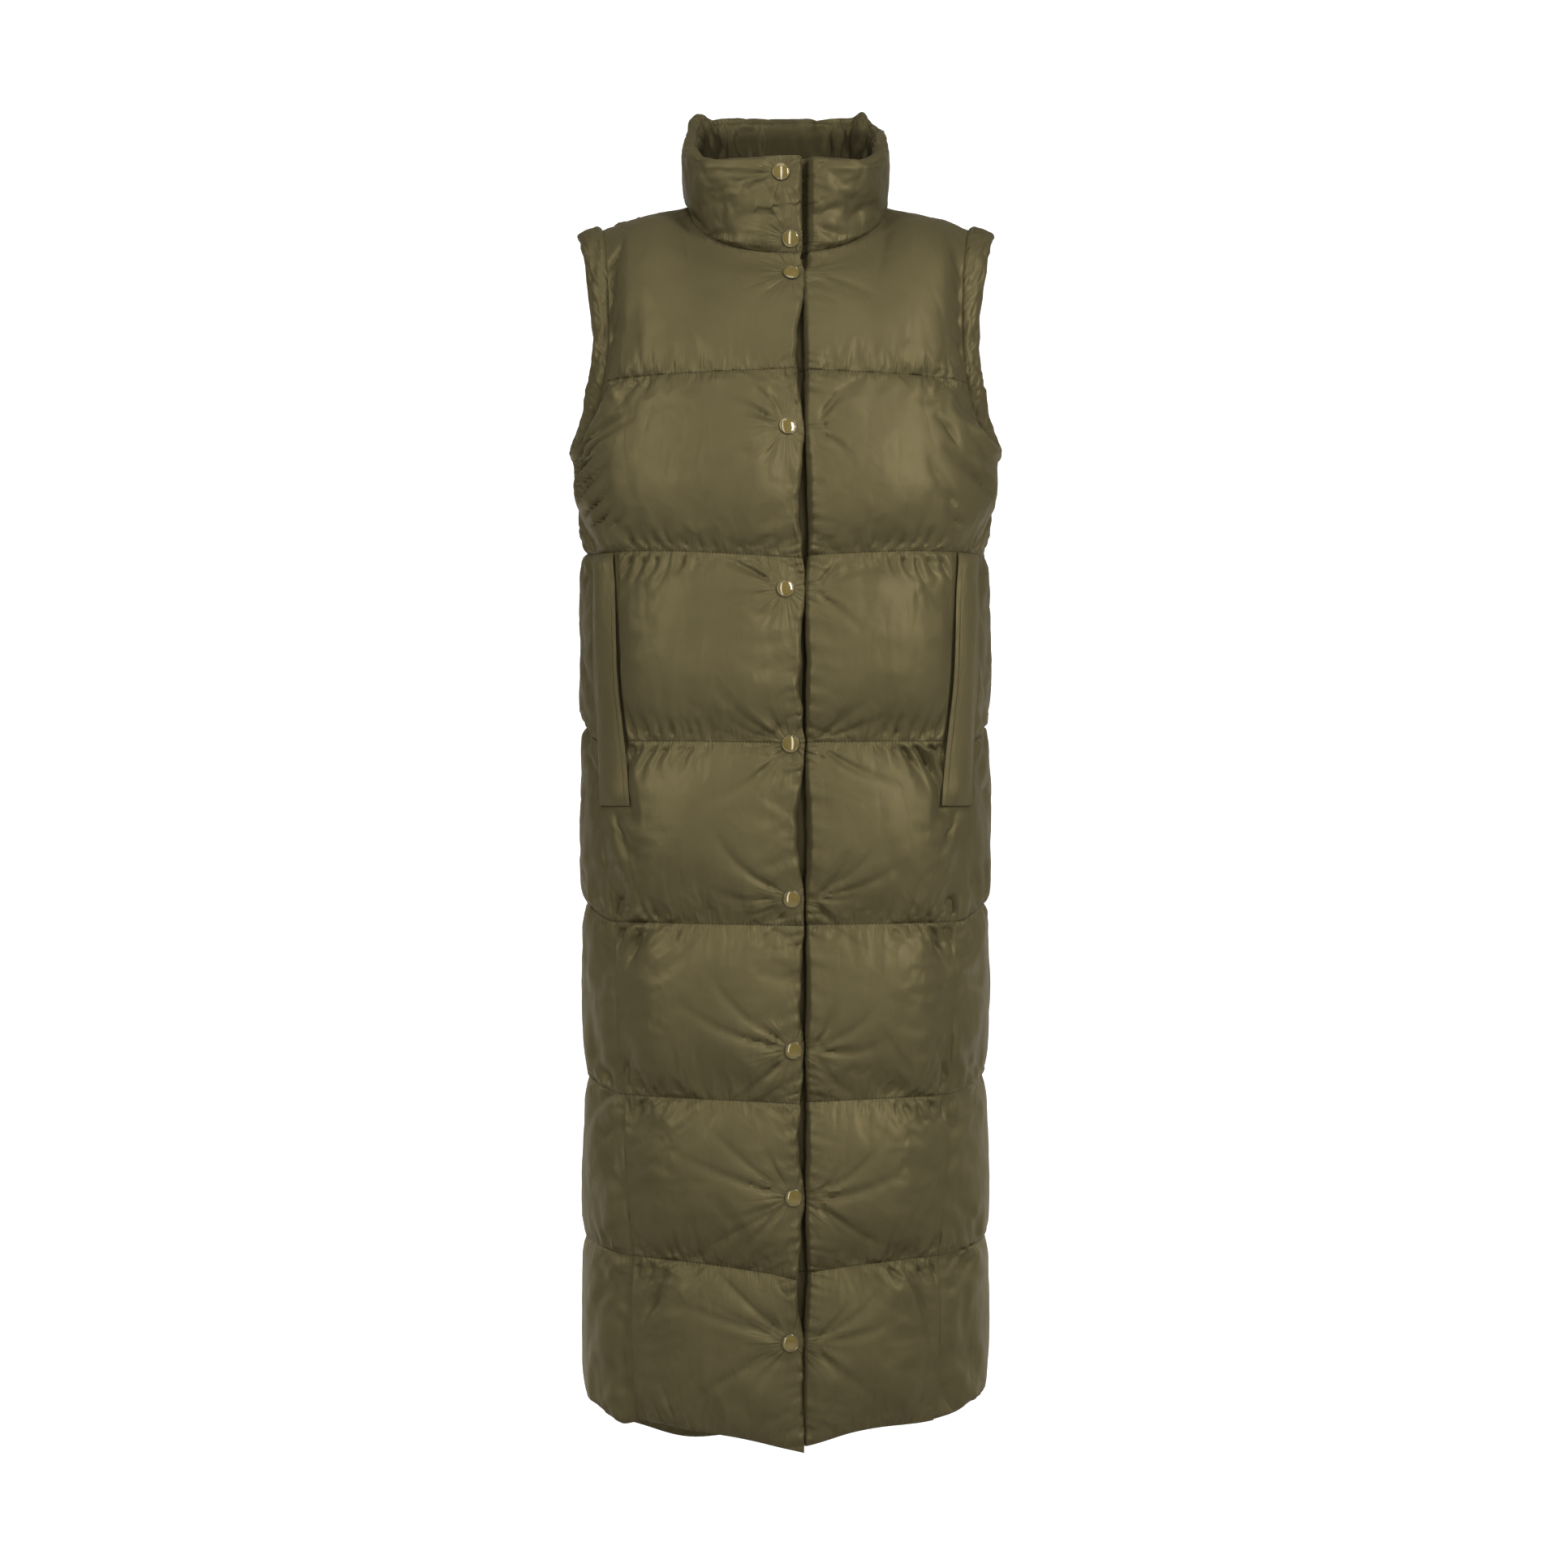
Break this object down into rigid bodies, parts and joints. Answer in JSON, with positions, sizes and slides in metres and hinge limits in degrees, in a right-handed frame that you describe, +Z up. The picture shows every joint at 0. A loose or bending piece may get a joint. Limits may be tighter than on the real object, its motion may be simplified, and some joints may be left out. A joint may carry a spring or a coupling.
{
  "type": "down coat",
  "caption": "Long hollow sleeveless down coat with quilted padded panels, stand collar, snap front and flat side pocket strips, filled out as when worn.",
  "frame": {"origin": "centre of the neck base, level with the points where the collar meets the shoulder seams", "axes": "+Z up to the collar, the front faces -Y, +X is the wearer's left"},
  "size_m": [0.392, 0.2858, 1.2634],
  "materials": {
    "front_nylon": "olive woven nylon with a soft sheen",
    "back_nylon": "olive woven nylon with a soft sheen",
    "collar_nylon": "olive woven nylon with a soft sheen",
    "band_nylon": "olive woven nylon with a soft sheen",
    "pocket_nylon": "olive woven nylon with a soft sheen",
    "cap_enamel": "glossy khaki enamel"
  },
  "bodies": {
    "root": {"front_left": "front_nylon", "front_right": "front_nylon", "back": "back_nylon", "collar": "collar_nylon", "armhole_band_left": "band_nylon", "armhole_band_right": "band_nylon", "pocket_strip_left": "pocket_nylon", "pocket_strip_right": "pocket_nylon", "snap_cap_01": "cap_enamel", "snap_cap_02": "cap_enamel", "snap_cap_03": "cap_enamel", "snap_cap_04": "cap_enamel", "snap_cap_05": "cap_enamel", "snap_cap_06": "cap_enamel", "snap_cap_07": "cap_enamel", "snap_cap_08": "cap_enamel", "snap_cap_09": "cap_enamel", "snap_cap_10": "cap_enamel"}
  },
  "joints": []
}
